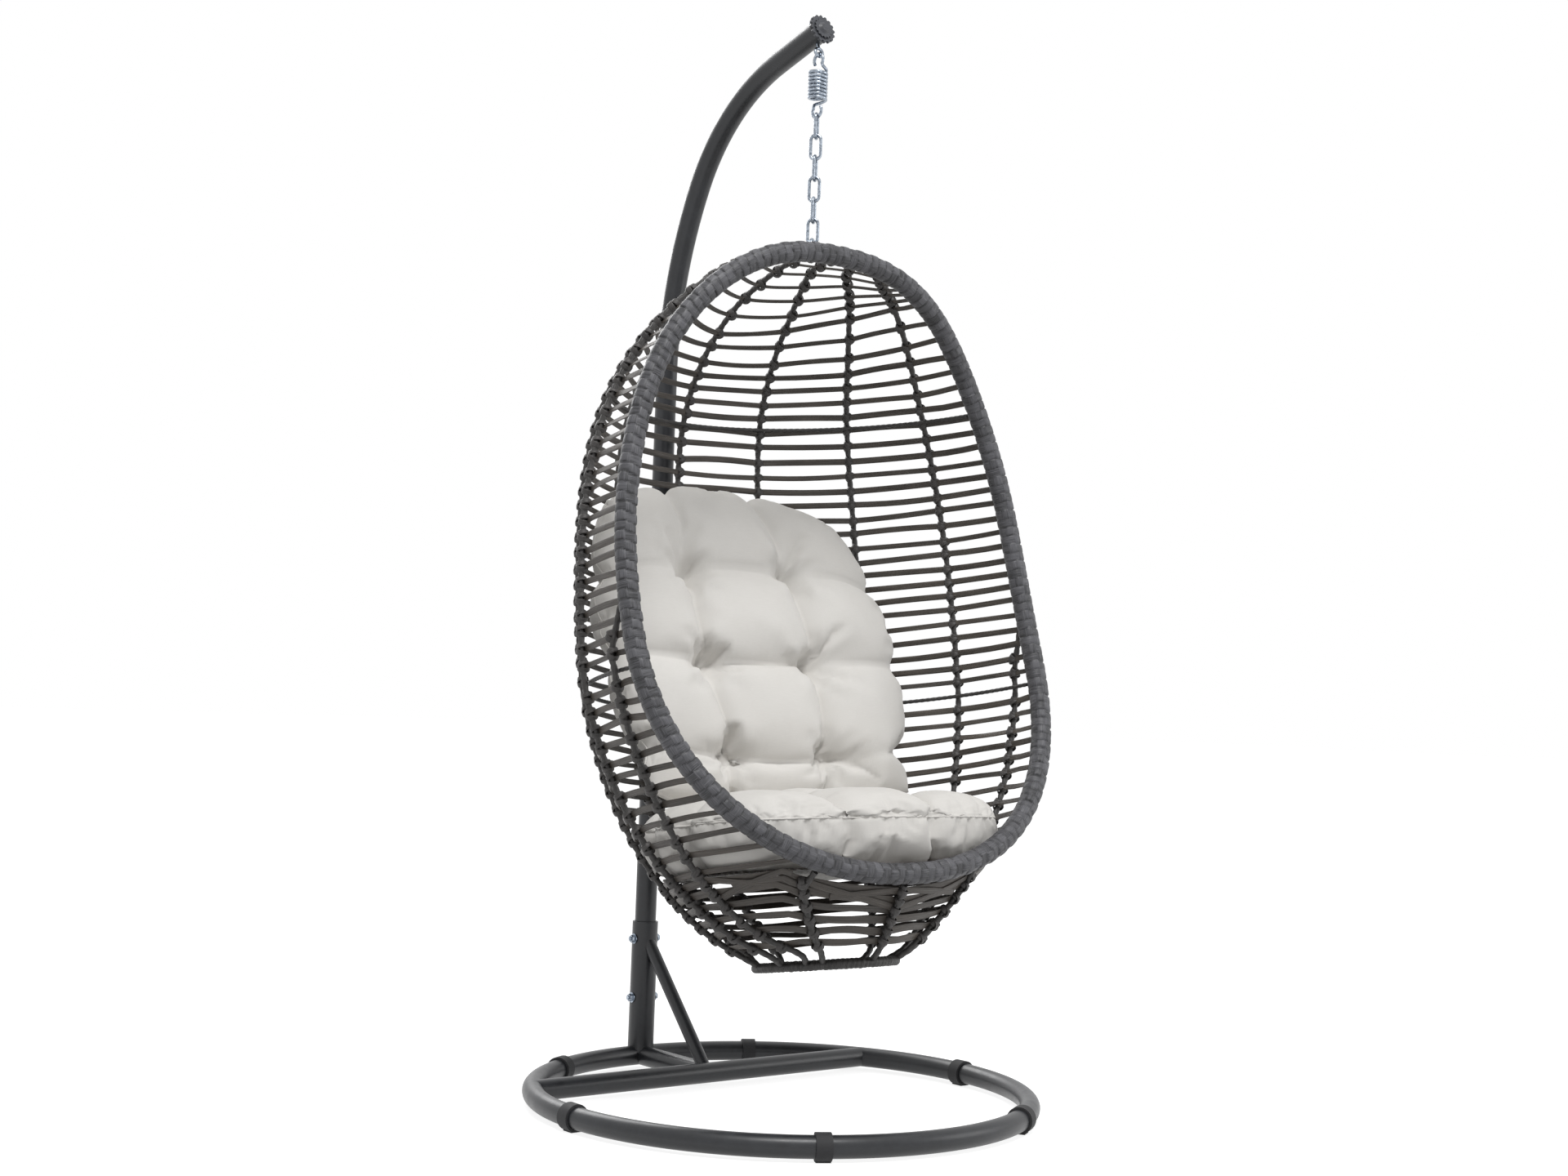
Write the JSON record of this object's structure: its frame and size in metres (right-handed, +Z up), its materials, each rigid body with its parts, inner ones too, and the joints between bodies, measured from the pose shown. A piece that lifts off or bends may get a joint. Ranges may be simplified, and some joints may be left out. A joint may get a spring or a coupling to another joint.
{
  "type": "hanging egg chair",
  "caption": "Egg-shaped wicker swing seat with tufted cushions, hung by a spring and chain from a bent pole on a ring base",
  "frame": {"origin": "On the floor, on the vertical axis of the base ring", "axes": "+Z is up, the chair faces -Y with the pole at +Y, and +X is to the right of someone who looks along +Y at the chair's front"},
  "size_m": [0.9711, 0.9445, 2.0215],
  "materials": {
    "powder_coat": "satin",
    "pad_rubber": "matte",
    "zinc_steel": "satin",
    "cap_plastic": "satin",
    "frame_steel": "satin",
    "wrapped_ring": "matte",
    "rim_wicker": "matte",
    "wrapped_rod": "matte",
    "wicker": "matte",
    "cushion_cloth": "matte"
  },
  "bodies": {
    "stand": {"base_ring": "powder_coat", "cross_tube": "powder_coat", "base_strut": "powder_coat", "socket_post": "powder_coat", "brace": "powder_coat", "floor_pad_1": "pad_rubber", "floor_pad_2": "pad_rubber", "floor_pad_3": "pad_rubber", "floor_pad_4": "pad_rubber", "floor_pad_5": "pad_rubber", "floor_pad_6": "pad_rubber", "lower_pole": "powder_coat", "upper_arm": "powder_coat", "socket_bolts": "zinc_steel", "socket_washers": "zinc_steel", "socket_nuts": "zinc_steel", "end_cap": "cap_plastic", "hook_bolt": "zinc_steel", "hook_washer": "zinc_steel", "hook_nut": "cap_plastic"},
    "spring_body": {"spring": "zinc_steel"},
    "link_1": {"chain_link_1": "zinc_steel"},
    "link_2": {"chain_link_2": "zinc_steel"},
    "link_3": {"chain_link_3": "zinc_steel"},
    "link_4": {"chain_link_4": "zinc_steel"},
    "link_5": {"chain_link_5": "zinc_steel"},
    "link_6": {"chain_link_6": "zinc_steel"},
    "basket": {"rim_eye": "zinc_steel", "rim_frame": "frame_steel", "rim_wrap": "rim_wicker", "rib_back": "wrapped_rod", "rib_left_1": "wrapped_rod", "rib_left_2": "wrapped_rod", "rib_left_3": "wrapped_rod", "rib_left_4": "wrapped_rod", "rib_right_1": "wrapped_rod", "rib_right_2": "wrapped_rod", "rib_right_3": "wrapped_rod", "rib_right_4": "wrapped_rod", "rib_front": "wrapped_rod", "rib_front_left": "wrapped_rod", "rib_front_right": "wrapped_rod", "hoop_upper": "wrapped_rod", "hoop_lower": "wrapped_rod", "bottom_ring": "wrapped_ring", "seat_floor": "wicker", "weave_top": "wicker", "weave_upper": "wicker", "weave_middle": "wicker", "weave_lower": "wicker", "weave_bottom": "wicker", "seat_cushion": "cushion_cloth", "back_cushion": "cushion_cloth"}
  },
  "joints": [
    {"name": "hook_swing", "type": "hinge", "parent": "stand", "child": "spring_body", "pos_m": [0, -0.003, 1.94062], "axis": [1, 0, 0], "range_deg": [-12, 1]},
    {"name": "spring_stretch", "type": "slide", "parent": "spring_body", "child": "link_1", "axis": [0, 0, -1], "range_m": [-0.005, 0.045], "stiffness_N_per_m": 20000, "springref_m": -0.01419, "deforming": ["spring"]},
    {"name": "link_2_swing", "type": "hinge", "parent": "link_1", "child": "link_2", "pos_m": [0, -0.003, 1.78947], "axis": [0, 1, 0], "range_deg": [-5, 5]},
    {"name": "link_3_swing", "type": "hinge", "parent": "link_2", "child": "link_3", "pos_m": [0, -0.003, 1.74977], "axis": [1, 0, 0], "range_deg": [-5, 0.3]},
    {"name": "link_4_swing", "type": "hinge", "parent": "link_3", "child": "link_4", "pos_m": [0, -0.003, 1.71007], "axis": [0, 1, 0], "range_deg": [-4, 4]},
    {"name": "link_5_swing", "type": "hinge", "parent": "link_4", "child": "link_5", "pos_m": [0, -0.003, 1.67037], "axis": [1, 0, 0], "range_deg": [-4, 0.2]},
    {"name": "link_6_swing", "type": "hinge", "parent": "link_5", "child": "link_6", "pos_m": [0, -0.003, 1.63067], "axis": [0, 1, 0], "range_deg": [-3, 3]},
    {"name": "basket_turn", "type": "hinge", "parent": "link_6", "child": "basket", "pos_m": [0, -0.003, 1.59], "axis": [0, 0, 1], "range_deg": [-25, 25]}
  ]
}
